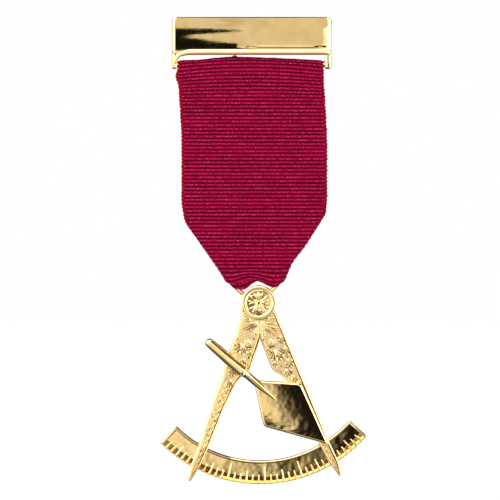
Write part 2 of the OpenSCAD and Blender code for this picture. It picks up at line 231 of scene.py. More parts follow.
# The bar is a case pressed from gilded brass: a polished front that is bowed a little, a return along
# the top and both ends, a bead along the lower edge and an ear at each end for the ribbon's rod.
case_low, case_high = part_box("bar_case")
BAR_X = case_high.x / MM
BAR_TOP = case_high.z / MM
BAR_BOTTOM = -BAR_TOP
BAR_FRONT = -6.5
BAR_BACK = case_high.y / MM
BAR_WALL = 0.9
CORNER = 1.1
BOW = 0.3
CROWN = 0.06
EAR_WIDE = {-1: 1.4, 1: 1.75}
EAR_BOTTOM = case_low.z / MM
ROD_Y = -4.3
ROD_Z = -7.45
LEFT_TURN = 0.75
RIGHT_TURN = 1.3
GROOVE_Z = -3.08
GROOVE_X = (-1.2, 19.4)
GROOVE_HALF = 0.09
GROOVE_DEEP = 0.1
STEP_BELOW_GROOVE = 0.06
CHAMFER = 0.24
EAR_HALF = 1.25
EAR_ROUND = 0.62
BEAD_Z = -4.62


def gilt(name, colour, roughness, worn_roughness, grain=0.0, mottle=0.0):
    """Gilded brass: its gold is a little uneven, with fine polishing lines, grain and soft waves."""
    made = bpy.data.materials.new(name)
    made.use_nodes = True
    tree = made.node_tree
    shader = tree.nodes["Principled BSDF"]
    shader.inputs["Metallic"].default_value = 1
    place = add(tree, "TexCoord").outputs["Object"]
    cloud = add(tree, "TexNoise", {"Vector": place, "Scale": 260.0, "Detail": 4.0}).outputs[0]
    tone = add(tree, "Mix", data_type="RGBA")
    tree.links.new(ramp_of(tree, cloud, 0.35, 0.7), tone.inputs[0])
    tone.inputs[6].default_value = (*colour, 1)
    tone.inputs[7].default_value = (colour[0] * 0.93, colour[1] * 0.88, colour[2] * 0.78, 1)
    tree.links.new(tone.outputs[2], shader.inputs["Base Color"])
    tree.links.new(ramp_of(tree, cloud, 0.4, 0.75, roughness, worn_roughness), shader.inputs["Roughness"])
    along = add(tree, "Mapping", {"Vector": place, "Scale": (300.0, 300.0, 6000.0)}).outputs[0]
    lines = add(tree, "TexNoise", {"Vector": along, "Scale": 1.0, "Detail": 2.0}).outputs[0]
    relief = add(tree, "Bump", {"Height": lines, "Strength": 0.25, "Distance": 0.000002})
    if grain:
        dots = add(tree, "TexNoise", {"Vector": place, "Scale": 4500.0, "Detail": 1.0}).outputs[0]
        relief = add(tree, "Bump", {"Height": dots, "Strength": grain, "Distance": 0.00003,
                                    "Normal": relief.outputs[0]})
    if mottle:
        waves = add(tree, "TexNoise", {"Vector": place, "Scale": 210.0, "Detail": 2.0}).outputs[0]
        relief = add(tree, "Bump", {"Height": waves, "Strength": mottle, "Distance": 0.00006,
                                    "Normal": relief.outputs[0]})
    tree.links.new(relief.outputs[0], shader.inputs["Normal"])
    return made


GOLD = (0.95, 0.69, 0.31)
# Gilt painted near black as shade, for the cuts and dots of the compasses and the bar's groove.
shade_painted_gilt = gilt("cut gilt painted dark as shade", (0.06, 0.035, 0.01), 0.4, 0.55, grain=0.3)
mirror_gilt = gilt("mirror gilt", GOLD, 0.02, 0.04, mottle=0.05)
rippled_gilt = gilt("rippled gilt", GOLD, 0.03, 0.06, grain=0.02, mottle=0.8)


def sliced(bm, axis, stations):
    """Cuts every face where it crosses the given places along an axis."""
    normal = Vector((0, 0, 0))
    normal[axis] = 1
    for place in stations:
        bmesh.ops.bisect_plane(bm, geom=bm.verts[:] + bm.edges[:] + bm.faces[:],
                               plane_co=normal * place, plane_no=normal, dist=1e-5)


def smooth(share):
    """0 below 0, 1 above 1, and a soft rise between."""
    share = min(max(share, 0), 1)
    return share * share * (3 - 2 * share)


def rounded(bm, edges, radius, segments=3):
    """Rounds edges off by a radius."""
    bmesh.ops.bevel(bm, geom=list(edges), offset=radius, segments=segments, profile=0.5,
                    affect="EDGES", offset_type="OFFSET", material=-1, clamp_overlap=True)


def block(bm, low, high, radius=0.0, segments=2):
    """A box between two corners, its edges rounded."""
    low, high = Vector(low), Vector(high)
    made = bmesh.ops.create_cube(bm, size=1, matrix=Matrix.Translation((low + high) / 2)
                                 @ Matrix.Diagonal((*(high - low), 1)))
    if radius:
        rounded(bm, {e for v in made["verts"] for e in v.link_edges}, radius, segments)


def wire(bm, path, radii, sides=16, flat=1.0, keel=1.0, closed=False):
    """A round wire along a path in a plane square to Y, its thickness given at each point.
    A flat below 1 makes it lower than it is wide, and a keel below 1 thins its right side."""
    rings = []
    count = len(path)
    for i, point in enumerate(path):
        before = path[(i - 1) % count] if closed or i > 0 else point
        after = path[(i + 1) % count] if closed or i < count - 1 else point
        run = (Vector(after) - Vector(before)).normalized()
        out = Vector((0, 1, 0))
        turn = Matrix((out * flat, run.cross(out), run)).transposed().to_4x4()
        made = bmesh.ops.create_circle(bm, segments=sides, radius=radii[i],
                                       matrix=Matrix.Translation(point) @ turn)
        side = run.cross(out)
        for vert in made["verts"]:
            right = max(0, (vert.co - Vector(point)).dot(side))
            vert.co -= side * right * (1 - keel)
        rings.append(list({e for v in made["verts"] for e in v.link_edges}))
    for i in range(count if closed else count - 1):
        bmesh.ops.bridge_loops(bm, edges=rings[i] + rings[(i + 1) % count])
    if not closed:
        for ring in (rings[0], rings[-1]):
            bmesh.ops.contextual_create(bm, geom=ring)


def put(bm, name, body, slot, *materials, sharp=38):
    """Ends a mesh made in millimetres: a piece in metres on its body, smooth apart from sharp edges."""
    bmesh.ops.remove_doubles(bm, verts=bm.verts, dist=1e-4)
    bmesh.ops.recalc_face_normals(bm, faces=bm.faces)
    bmesh.ops.scale(bm, vec=(MM, MM, MM), verts=bm.verts)
    mesh = bpy.data.meshes.new(name)
    bm.to_mesh(mesh)
    bm.free()
    for material in materials:
        mesh.materials.append(material)
    mesh.shade_smooth()
    mesh.set_sharp_from_angle(angle=math.radians(sharp))
    piece = bpy.data.objects.new(name, mesh)
    bpy.context.scene.collection.objects.link(piece)
    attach(piece, body)
    return piece


def front_set_back(x, z):
    """How far the front lies behind its middle: the bow, the crown and the turned ends."""
    back = BOW * (x / BAR_X) ** 2 + CROWN * (z / BAR_TOP) ** 2
    turn = LEFT_TURN
    if x > 0:
        turn = RIGHT_TURN - (RIGHT_TURN - LEFT_TURN) * smooth((z - 2.1) / 0.9)
    into = max(0, abs(x) - (BAR_X - turn)) / turn
    back += 0.55 * turn * into ** 1.3
    if GROOVE_X[0] < x < GROOVE_X[1]:
        back += GROOVE_DEEP * (abs(z - GROOVE_Z) < 0.015)
        back -= STEP_BELOW_GROOVE * smooth((GROOVE_Z + 0.9 - z) / 0.8)
    return back


bar = bmesh.new()
bmesh.ops.create_cube(bar, size=1, matrix=Matrix.Translation((0, (BAR_FRONT + BAR_BACK) / 2, 0))
                      @ Matrix.Diagonal((2 * BAR_X, BAR_BACK - BAR_FRONT, 2 * BAR_TOP, 1)))
rounded(bar, [e for e in bar.edges if abs(e.verts[0].co.y - e.verts[1].co.y) > 1], CORNER, 6)
open_sides = [f for f in bar.faces if f.calc_center_median().y > BAR_BACK - 0.01
              or f.calc_center_median().z < BAR_BOTTOM + 0.01]
bmesh.ops.delete(bar, geom=open_sides, context="FACES")
top_edges = [e for e in bar.edges if all(abs(v.co.y - BAR_FRONT) < 0.01 for v in e.verts)
             and not all(v.co.z < BAR_BOTTOM + 0.01 for v in e.verts)]
rounded(bar, top_edges, CHAMFER, 1)
ends = [0.1, 0.25, 0.42, 0.6, 0.8, 1.0, 1.2, 1.45]
sliced(bar, 0, [side * (BAR_X - step) for side in (-1, 1) for step in ends] + list(range(-18, 19, 2)))
sliced(bar, 2, [-4, -3.4, GROOVE_Z - GROOVE_HALF, GROOVE_Z, GROOVE_Z + GROOVE_HALF, -2.5, -2.1, -1, 0, 1,
                1.9, 2.2, 2.5, 2.8, 3.1, 4])
for vert in bar.verts:
    share = (BAR_BACK - vert.co.y) / (BAR_BACK - BAR_FRONT)
    vert.co.y += front_set_back(vert.co.x, vert.co.z) * share ** 3
bmesh.ops.remove_doubles(bar, verts=bar.verts, dist=1e-4)
bmesh.ops.recalc_face_normals(bar, faces=bar.faces)
bmesh.ops.solidify(bar, geom=bar.faces[:], thickness=BAR_WALL)

# The bead turns down at its left end, in front of the ear. Points: across, back, up.
bead_path = [(BAR_X - 0.25, -6.0, BEAD_Z), (BAR_X - 0.5, -6.1, BEAD_Z)]
bead_path += [(x, -6.2 + BOW * (x / BAR_X) ** 2 * 0.7, BEAD_Z) for x in (19, 15, 10, 5, 0, -5, -10, -14)]
bead_path += [(-16, -6.1, -4.66), (-17.4, -6.05, -4.78), (-18.6, -6.0, -5.08), (-19.35, -5.95, -5.5),
              (-19.75, -5.85, -6.1), (-19.9, -5.7, -6.8), (-19.9, -5.5, -7.5)]
bead_radii = [0.9, 1.1] + [1.2] * 8 + [1.17, 1.08, 0.95, 0.85, 0.75, 0.65, 0.5]
wire(bar, bead_path, bead_radii, 24, flat=0.45, keel=0.37)
for side in (-1, 1):
    outer = side * (BAR_X - 0.02)
    inner = side * (BAR_X - EAR_WIDE[side])
    low = (min(outer, inner), ROD_Y - EAR_HALF, EAR_BOTTOM)
    high = (max(outer, inner), ROD_Y + EAR_HALF, BAR_TOP - BAR_WALL)
    block(bar, low, high, EAR_ROUND, 5)
# Faces in the groove get the gilt painted dark as shade, in place of the shade that falls in it.
for face in bar.faces:
    middle = face.calc_center_median()
    in_groove = abs(middle.z - GROOVE_Z) < GROOVE_HALF and GROOVE_X[0] < middle.x < GROOVE_X[1]
    if in_groove and middle.y < BAR_FRONT + 0.6:
        face.material_index = 1
bar_case = put(bar, "bar_case_pressed", "brooch", "polished_gilt", mirror_gilt, shade_painted_gilt)
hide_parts("bar_case")

# The brooch pin behind the bar isn't seen in the photograph, so it is plain: a strip across the case
# with a knuckle at one end, a catch at the other and a gilt stem between them, and a small tab that
# shows below the bar.
satin_gilt = gilt("satin gilt", (0.93, 0.68, 0.33), 0.16, 0.28, grain=0.08)
PIN_REACH = 15.5
STRIP_BACK = -2.05
STRIP_FRONT = -2.85
STRIP_X = 19.5
STRIP_HALF = 2.6
TAB_X = (-5.2, -3.9)
TAB_BOTTOM = -5.75
STEM = 0.45
HOOK_X = -15.0
HOOK_WIDE = 1.8
ACROSS = Matrix.Rotation(math.radians(90), 4, "Y")


def lathe(bm, profile, matrix=Matrix.Identity(4), steps=48):
    """A turned part. The profile's points are radius and height along Z, before the matrix."""
    corners = [bm.verts.new((radius, 0, height)) for radius, height in profile]
    edges = [bm.edges.new(pair) for pair in zip(corners, corners[1:])]
    before = set(bm.verts) - set(corners)
    bmesh.ops.spin(bm, geom=corners + edges, cent=(0, 0, 0), axis=(0, 0, 1), dvec=(0, 0, 0),
                   angle=math.tau, steps=steps, use_merge=True)
    bmesh.ops.transform(bm, matrix=matrix, verts=[v for v in bm.verts if v not in before])


pin = bmesh.new()
block(pin, (-STRIP_X, STRIP_FRONT, -STRIP_HALF), (STRIP_X, STRIP_BACK, STRIP_HALF), 0.3, 3)
block(pin, (TAB_X[0], STRIP_FRONT, TAB_BOTTOM), (TAB_X[1], STRIP_BACK, 0.4 - STRIP_HALF), 0.2, 2)
lathe(pin, [(0, 1.3), (0.75, 1.3), (0.92, 1.2), (0.95, 1.05), (0.95, -1.05), (0.92, -1.2), (0.75, -1.3),
            (0, -1.3)], Matrix.Translation((PIN_REACH, 0, 0)), 32)
block(pin, (PIN_REACH - 0.85, STRIP_FRONT + 0.3, -1.15), (PIN_REACH + 0.85, 0, 1.15), 0.15)
lathe(pin, [(0, -17.4), (0.12, -17.25), (0.4, -15.6), (STEM, -15), (STEM, PIN_REACH), (0, PIN_REACH)],
      ACROSS, 24)
hook = [(0.6, 0), (1.25, 0), (1.25, HOOK_WIDE), (0.6, HOOK_WIDE)]
face = pin.faces.new([pin.verts.new((HOOK_X + x, 0, -r)) for r, x in hook])
bmesh.ops.rotate(pin, verts=face.verts, cent=(0, 0, 0),
                 matrix=Matrix.Rotation(math.radians(55), 3, "X"))
bmesh.ops.spin(pin, geom=[face], cent=(0, 0, 0), axis=(1, 0, 0), dvec=(0, 0, 0),
               angle=math.radians(250), steps=20, use_merge=False)
block(pin, (HOOK_X, STRIP_FRONT + 0.3, -0.6), (HOOK_X + HOOK_WIDE, -0.95, 0.6), 0.1)
brooch_pin = put(pin, "brooch_pin_plain", "brooch", "plain_gilt", satin_gilt)
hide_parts("brooch_pin")

# The rod is a straight piece of round gilt wire. It runs from ear to ear through the ribbon's upper
# loop, and its ends are riveted over.
ROD_X = BAR_X - 0.05
rod = bmesh.new()
lathe(rod, [(0, -ROD_X), (0.55, -ROD_X), (0.72, -ROD_X + 0.15), (0.75, -ROD_X + 0.3),
            (0.75, ROD_X - 0.3), (0.72, ROD_X - 0.15), (0.55, ROD_X), (0, ROD_X)],
      Matrix.Translation((0, ROD_Y, ROD_Z)) @ ACROSS, 32)
ribbon_rod = put(rod, "ribbon_rod_turned", "brooch", "plain_gilt", satin_gilt)
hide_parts("ribbon_rod")

# The ring is one bent gilt wire. Its lower bar carries the pendant's eye, and its arch lies in the fold of
# the ribbon, which hides it apart from the two slanting sides.
BAR_OF_RING = -69.15
RING = [(-1.12, BAR_OF_RING, 1), (3.15, BAR_OF_RING, 1), (7.85, BAR_OF_RING + 4.4, 1),
        (0.99, BAR_OF_RING + 6.4, 5), (-5.95, BAR_OF_RING + 4.3, 1)]
WIRE = 0.5


def bent(corners, y, steps=8):
    """A closed path through corners of x, z and bend radius, each corner turned in a round bend."""
    path = []
    for i, (x, z, bend) in enumerate(corners):
        here = Vector((x, z))
        arms = [(Vector(corners[(i + k) % len(corners)][:2]) - here).normalized() for k in (-1, 1)]
        half = arms[0].angle(arms[1]) / 2
        middle = here + (arms[0] + arms[1]).normalized() * bend / math.sin(half)
        start, end = (here + arm * bend / math.tan(half) - middle for arm in arms)
        swing = start.angle_signed(end)
        for step in range(steps + 1):
            spoke = start.copy()
            spoke.rotate(Matrix.Rotation(-swing * step / steps, 2))
            path.append((middle.x + spoke.x, y, middle.y + spoke.y))
    return path


ring = bmesh.new()
ring_path = bent(RING, ROD_Y)
wire(ring, ring_path, [WIRE] * len(ring_path), 20, closed=True)
suspension_ring = put(ring, "suspension_ring_bent", "brooch", "plain_gilt", satin_gilt)
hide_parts("suspension_ring")

# The ribbon is a length of crimson ribbed silk, looped over the rod and round the ring's arch. Its lower
# corners are folded in between the two layers, so the sides slope to the ring. Both layers are the same
# strip: rows follow the ribs from the top of the rod to the bottom of the fold, once per layer.
RIB = 0.9815
RIBS_OVER_ROD = 3
RIBS_DOWN = 58
RIBS_UNDER_RING = 2
# Rows of the mesh in one rib. Columns: share of the rib, share of its height.
RIB_ROWS = [(0, 0), (0.12, 0.5), (0.27, 0.87), (0.42, 1), (0.58, 1), (0.73, 0.87), (0.88, 0.5)]
RIB_HIGH = 0.28
# Half of the loop's thickness at the rod and at the ring.
LOOP_HALF = 1.15
FOLD_HALF = 1.5
HALF_WIDE = 19.1
SELVEDGE_X = 18.35
# Columns of the strip: across in mm, and how far below the surface. The first ones are the thick edge.
EDGE = [(18.95, -0.45), (19.1, -0.36), (19.16, -0.22), (19.1, -0.08), (18.95, 0), (18.7, 0.03),
        (18.42, 0), (18.15, -0.07), (17.8, 0)]
COLUMNS = [(-x, d) for x, d in EDGE] + [(-17.2 + 0.86 * i, 0) for i in range(41)] + EDGE[::-1]
# The upper edge and the lower edge of the loop. Columns: across, height.
UPPER = [(-19.2, -6.6), (-13.5, -6.45), (-9.5, -5.95), (-5, -5.66), (0, -5.75), (5, -5.93), (13, -6.3),
         (19.2, -6.6)]
LOWER = [(-8, -65.6), (-6.6, -65.6), (-5.6, -66.4), (-4.2, -66.8), (-2.8, -66.9), (-1.7, -66.2),
         (-0.5, -65.1), (0.8, -64.5), (2.1, -64.95), (3.4, -65.7), (4.6, -66.15), (5.9, -66.1),
         (7.1, -65.4), (9, -65.4)]
# The line each lower corner is folded along: a point on it and the way out of it.
FOLDS = [(Vector((-17.2, -50.75)), Vector((-0.82, -0.573))),
         (Vector((16.8, -50.2)), Vector((0.851, -0.525)))]
FOLD_ROLL = 0.5
# Past this distance from the fold the strip lies between the layers, where nobody sees it.
FOLD_HIDDEN = 3
# Creases low on the front. Columns: start, end, depth, half width.
CREASES = [((-5.0, -52.2), (3.2, -55.6), 0.35, 1.0), ((-2.2, -61.6), (4.6, -62.6), 0.3, 0.8)]


def along_list(pairs, place):
    """The height at a place, in straight steps between the pairs of a list."""
    for (low, low_height), (high, high_height) in zip(pairs, pairs[1:]):
        if place <= high:
            share = min(max((place - low) / (high - low), 0), 1)
            return low_height + (high_height - low_height) * share
    return pairs[-1][1]


def hill(value, middle, wide):
    """A soft hill that is 1 at its middle and nearly 0 two widths away."""
    return math.exp(-((value - middle) / wide) ** 2)


def ribbon_place(x, down, rise, layer):
    """Where a point of the flat strip lies in the loop, and how far past the side fold it is.
    Down counts from the level of the rod, rise is out of the cloth, layer is -1 in front, 1 behind."""
    ring_level = RIBS_DOWN * RIB
    z = ROD_Z - down
    # The sides draw in a little above the folds, behind less than in front.
    narrow = 0.075 * smooth((-41.2 - z) / 10) if x > 0 else 0.06 * smooth((-43.3 - z) / 9)
    if layer > 0 and x > 0:
        narrow *= 0.25 + 0.75 * smooth((-48.5 - z) / 4)
    x *= 1 - narrow
    # Each lower corner rolls over its fold line and runs back behind the layer.
    past = -1
    for start, out in FOLDS:
        beyond = (Vector((x, z)) - start).dot(out) + FOLD_ROLL
        past = max(past, beyond)
        if beyond > 0:
            turn = min(beyond / FOLD_ROLL, math.pi)
            reach = (FOLD_ROLL + rise) * math.sin(turn) - max(0, beyond - math.pi * FOLD_ROLL)
            rise = (FOLD_ROLL + rise) * math.cos(turn) - FOLD_ROLL
            x += out.x * (reach - beyond)
            z += out.y * (reach - beyond)
    down = ROD_Z - z
    # A dent in the right side near the ring, and one in the left side near the rod.
    x -= 0.7 * hill(z, -59.8, 3) * smooth((x - 2) / 6)
    x -= 0.65 * hill(z, -9.75, 1.8) * smooth((-x - 15) / 4)
    # Near the rod the ribs sag towards the sides, and near the ring they bend over its arch.
    top_half = along_list(UPPER, x) - ROD_Z
    slack = (abs(x) / HALF_WIDE) ** 2.2
    droop = -slack * (1 - smooth(down / 12))
    arch = 0.9 * hill(x, -1, 3) - 0.75 * hill(x, 5.5, 3) - 0.6 * hill(x, -6.5, 2.5)
    sag = arch * smooth((down - 53) / 5)
    # The loop is as thick as the rod at the top and as the ring at the bottom, with soft waves between.
    half = LOOP_HALF + (top_half - LOOP_HALF) * (1 - smooth(down / 7))
    half += (FOLD_HALF - LOOP_HALF) * smooth((down - 48) / 8) * (1 - smooth((abs(x - 0.5) - 6) / 4))
    wave = 0.13 * noise.noise(Vector((x / 9, z / 9, layer * 7)))
    half += wave * smooth(down / 5) * smooth((57.5 - down) / 5)
    if layer < 0:
        for (x_1, z_1), (x_2, z_2), deep, wide in CREASES:
            chord = Vector((x_2 - x_1, z_2 - z_1))
            share = min(max((Vector((x - x_1, z - z_1)).dot(chord)) / chord.length_squared, 0), 1)
            near = (Vector((x - x_1, z - z_1)) - chord * share).length
            half -= deep * hill(near, 0, wide) * math.sin(math.pi * (0.1 + 0.8 * share))
        dent = 0.9 * hill(x, -1.5, 2) * hill(down, 57.8, 1.0)
        dent += 0.35 * hill(x, 3.2, 1.2) * hill(down, 58.4, 1.5)
        half -= dent * max(0, math.cos(math.pi / 2 * (down - ring_level) / (RIBS_UNDER_RING * RIB)))
    # Round the rod, straight down, and round the arch of the ring. The whole hangs a little to the right.
    middle_x = -0.25 + 0.95 * smooth(down / 22)
    round_rod = RIBS_OVER_ROD * RIB - slack
    if down < -slack:
        angle = math.pi / 2 * (down + RIBS_OVER_ROD * RIB) / round_rod
        y = (half + rise) * math.sin(angle)
        z = ROD_Z + (half + rise) * math.cos(angle)
    elif down < 0:
        y = half + rise
        z = ROD_Z - down - slack
    elif down <= ring_level:
        y = half + rise
        z = ROD_Z - down + droop + sag
    else:
        angle = math.pi / 2 * (down - ring_level) / (RIBS_UNDER_RING * RIB)
        y = (half + rise) * math.cos(angle)
        fold_top = ROD_Z - ring_level + sag
        z = fold_top - (fold_top - along_list(LOWER, x) + rise) * math.sin(angle)
    return Vector((middle_x + x, ROD_Y + layer * y, z)), past


ribbon = bmesh.new()
weave = ribbon.loops.layers.uv.new("weave")
# The crest layer holds each row's share of the rib's height. The silk reads it to paint shade in the
# grooves.
crest = ribbon.verts.layers.float.new("crest")
selvedge = ribbon.verts.layers.float.new("selvedge")
rib_count = RIBS_OVER_ROD + RIBS_DOWN + RIBS_UNDER_RING
row_count = rib_count * len(RIB_ROWS)
for layer in (-1, 1):
    made = bmesh.ops.create_grid(ribbon, x_segments=len(COLUMNS) - 1, y_segments=row_count,
                                 size=1)["verts"]
    flat_place = {}
    hidden = []
    for vert in made:
        column = round((vert.co.x + 1) / 2 * (len(COLUMNS) - 1))
        row = round((vert.co.y + 1) / 2 * row_count)
        x, rise = COLUMNS[column]
        phase, lift = RIB_ROWS[row % len(RIB_ROWS)]
        rib = row // len(RIB_ROWS)
        ribs = rib + phase
        strip = smooth((abs(x) - SELVEDGE_X) / 0.4)
        vert[crest] = lift
        vert[selvedge] = strip
        flat_place[vert] = (x, ribs)
        frayed = 0.011 * (lift - 0.4) + 0.009 * noise.noise(Vector((ribs * 0.9, x, 4 + layer)))
        x *= 1 + frayed * smooth((abs(x) - 18) / 0.8)
        uneven = 1 + 0.25 * noise.noise(Vector((x / 2.5, rib * 3.3, layer)))
        past_fold = smooth((ribbon_place(x, (ribs - RIBS_OVER_ROD) * RIB, 0, layer)[1] + 0.3) / 0.6)
        rise += RIB_HIGH * lift * uneven * (1 - 0.75 * max(strip, past_fold))
        wander = 0.05 * noise.noise(Vector((x / 6, rib * 0.7, layer * 5)))
        if not 1 < ribs < rib_count - 1:
            wander = 0
        down = (ribs - RIBS_OVER_ROD + wander) * RIB
        vert.co, past = ribbon_place(x, down, rise, layer)
        if past > FOLD_HIDDEN:
            hidden.append(vert)
    for face in {f for v in made for f in v.link_faces}:
        for loop in face.loops:
            loop[weave].uv = flat_place[loop.vert]
    bmesh.ops.delete(ribbon, geom=hidden, context="VERTS")

# The silk is painted dark as shade between the ribs and on the lower side of each rib, and is lighter on
# the ribs, in uneven dashes of thread with a few painted glints. It reads the flat place on the strip:
# threads across in mm and ribs along.
cloth = bpy.data.materials.new("crimson ribbed silk")
cloth.use_nodes = True
tree = cloth.node_tree
shader = tree.nodes["Principled BSDF"]
threads = add(tree, "SeparateXYZ", {0: add(tree, "UVMap", uv_map="weave").outputs[0]}).outputs
rib_number = math_of(tree, "FLOOR", threads[1])
rib_share = math_of(tree, "FRACT", threads[1])
patch_at = add(tree, "CombineXYZ", {0: math_of(tree, "MULTIPLY", threads[0], 0.14),
                                    1: math_of(tree, "MULTIPLY", rib_number, 1.7)}).outputs[0]
patch = add(tree, "TexNoise", {"Vector": patch_at, "Scale": 1.0, "Detail": 2.0}).outputs[0]
knot_at = add(tree, "CombineXYZ", {0: math_of(tree, "MULTIPLY", threads[0], 2.3),
                                   1: math_of(tree, "MULTIPLY", threads[1], 2.2),
                                   2: math_of(tree, "MULTIPLY", rib_number, 3.7)}).outputs[0]
knots = add(tree, "TexNoise", {"Vector": knot_at, "Scale": 1.0, "Detail": 2.5}).outputs[0]
lit = math_of(tree, "MULTIPLY", ramp_of(tree, knots, 0.36, 0.66),
              ramp_of(tree, patch, 0.3, 0.6, 0.35, 1.0))
thread_tone = add(tree, "Mix", {0: lit}, data_type="RGBA")
thread_tone.inputs[6].default_value = (0.14, 0.0, 0.014, 1)
thread_tone.inputs[7].default_value = (0.32, 0.0, 0.043, 1)
# The painted shade mask: 1 on the lit tops of the ribs, falling in the grooves and on each rib's lower side.
rib_light_share = math_of(tree, "MULTIPLY", add(tree, "Attribute", attribute_name="crest").outputs["Fac"],
                  ramp_of(tree, rib_share, 0.5, 0.95, 1.0, 0.55))
# Painted glints: small light pink highlights on the lit tops of the ribs.
glint_at = add(tree, "CombineXYZ", {0: math_of(tree, "MULTIPLY", threads[0], 4.5),
                                      1: math_of(tree, "MULTIPLY", threads[1], 3.0)}).outputs[0]
glint_noise = add(tree, "TexNoise", {"Vector": glint_at, "Scale": 1.0, "Detail": 1.0}).outputs[0]
glint_mask = math_of(tree, "MULTIPLY", ramp_of(tree, glint_noise, 0.56, 0.68),
                  ramp_of(tree, rib_light_share, 0.6, 0.95))
painted_glint_tone = add(tree, "Mix", {0: glint_mask, 6: thread_tone.outputs[2]}, data_type="RGBA")
painted_glint_tone.inputs[7].default_value = (0.52, 0.05, 0.16, 1)
# Painted shade: the grooves and lower sides of the ribs are mixed towards near black.
groove_shade_tone = add(tree, "Mix", {0: ramp_of(tree, rib_light_share, 0.1, 0.9)}, data_type="RGBA")
groove_shade_tone.inputs[6].default_value = (0.06, 0.0, 0.003, 1)
tree.links.new(painted_glint_tone.outputs[2], groove_shade_tone.inputs[7])
edge_tone = add(tree, "Mix", {0: add(tree, "Attribute", attribute_name="selvedge").outputs["Fac"]},
                data_type="RGBA")
tree.links.new(groove_shade_tone.outputs[2], edge_tone.inputs[6])
edge_tone.inputs[7].default_value = (0.2, 0.0, 0.005, 1)
tree.links.new(edge_tone.outputs[2], shader.inputs["Base Color"])
shader.inputs["Roughness"].default_value = 0.6
shader.inputs["Specular IOR Level"].default_value = 0.03
twist = add(tree, "TexNoise", {"Vector": knot_at, "Scale": 2.2, "Detail": 2.0}).outputs[0]
relief = add(tree, "Bump", {"Height": twist, "Strength": 0.5, "Distance": 0.00012})
tree.links.new(relief.outputs[0], shader.inputs["Normal"])
ribbon_piece = put(ribbon, "ribbon_woven", "brooch", "crimson_ribbon", cloth, sharp=80)
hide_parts("ribbon")

# The compasses are one gilt casting: a round head with a rosette, two legs with a raised border and
# ornament on a sunk ground, and an eye behind the head that hangs on the ring's lower bar. All parts of
# the pendant are drawn flat from the middle of the head, then leant and hung as the jewel hangs.
HEAD_X = 1.86
HEAD_Z = -70.26
LEAN = 2
HANG = 4.6
PIVOT = Vector((0, ROD_Y, BAR_OF_RING))
PENDANT = (Matrix.Translation(PIVOT) @ Matrix.Rotation(math.radians(HANG), 4, "X")
           @ Matrix.Translation(-PIVOT) @ Matrix.Translation((HEAD_X, 0, HEAD_Z))
           @ Matrix.Rotation(math.radians(-LEAN), 4, "Y"))
LEG_BACK = -5.5
LEG_FRONT = -6.95
SUNK = 0.25
BORDER = 0.62
HEAD_R = 4.55
HEAD_GROUND = -6.87
LEG_TIP = (20.2, -46.45)
# The slot of the gilt painted dark as shade, which the cuts and dots use.
SHADE_PAINTED_CUT = 2
# The outline of both legs, anticlockwise from the left shoulder. Columns: across, up.
SHOULDERS = [(0, 2.3), (-4.83, 2.3), (-4.83, -3.9)]
# The point runs on below the leg's tip, where it is cut off later.
LEG = [(17.25, -37.4), (19.6, -42.8), (20.85, -48.4), (17.3, -43.2), (14.5, -37.6), (10.15, -27.6),
       (8.2, -23.9), (6.9, -21.4), (6.1, -20.2), (4.8, -19), (3.5, -18.3), (2.8, -17.4)]
OUTLINE = SHOULDERS + [(-x, z) for x, z in LEG] + [(0, -9.7)] + LEG[::-1] + [(4.5, -3)]


def plate(bm, outline, front, back):
    """Makes a flat plate of the given outline, and gives its front face."""
    face = bm.faces.new([bm.verts.new((x, front, z)) for x, z in outline])
    grown = bmesh.ops.extrude_face_region(bm, geom=[face])["geom"]
    bmesh.ops.translate(bm, vec=(0, back - front, 0),
                        verts=[g for g in grown if isinstance(g, bmesh.types.BMVert)])
    bmesh.ops.recalc_face_normals(bm, faces=bm.faces)
    return next(f for f in bm.faces if f.normal.y < -0.99)


def front_face(bm):
    """The largest face that looks forward."""
    bm.normal_update()
    return max((f for f in bm.faces if f.normal.y < -0.99), key=lambda f: f.calc_area())


def petal(bm, root, tip, bend, width, height, y, tone=0):
    """One stroke of the relief: a bent, pointed ridge from root to tip on ground at depth y."""
    root, tip = Vector(root), Vector(tip)
    chord = tip - root
    side = Vector((-chord.y, chord.x)).normalized()
    made = bmesh.ops.create_uvsphere(bm, u_segments=8, v_segments=6, radius=1)
    for vert in made["verts"]:
        across, up, along = vert.co
        share = (along + 1) / 2
        middle = root + chord * share + side * bend * 4 * share * (1 - share)
        fat = 1.25 - 0.5 * share
        point = middle + side * across * width / 2 * fat
        vert.co = (point.x, y - (height if up > 0 else 0.05) * up * fat, point.y)
    for face in {f for v in made["verts"] for f in v.link_faces}:
        face.material_index = tone


def spray(bm, root, heading, reach, count, spread, width, height, y, curl=0.18):
    """A leaf: petals that fan out from a root, the middle ones longest, each curling outwards, with
    a cut painted dark as shade between each two."""
    root = Vector(root)
    for i in range(2 * count - 1):
        share = i / (count - 1) - 1
        a = math.radians(heading + share * spread)
        long = reach * (1 - 0.35 * share * share)
        out = Vector((math.cos(a), math.sin(a))) * long
        bend = -share * curl * long
        if i % 2:
            petal(bm, root + out * 0.3, root + out * 0.95, bend * 0.3, 0.24, height * 1.2, y, SHADE_PAINTED_CUT)
        else:
            petal(bm, root + out, root + out * 0.12, -bend, width, height, y)


def volute(bm, centre, radius, start, turns, thick, y):
    """A scroll: a wire that winds in to its centre and grows thinner."""
    count = max(8, int(abs(turns) * 14))
    path, radii = [], []
    for i in range(count + 1):
        share = i / count
        a = math.radians(start + 360 * turns * share)
        r = radius * (1 - 0.82 * share)
        path.append((centre[0] + r * math.cos(a), y, centre[1] + r * math.sin(a)))
        radii.append(thick * (0.6 + 0.4 * math.sin(math.pi * share)))
    wire(bm, path, radii, 8, flat=0.8)


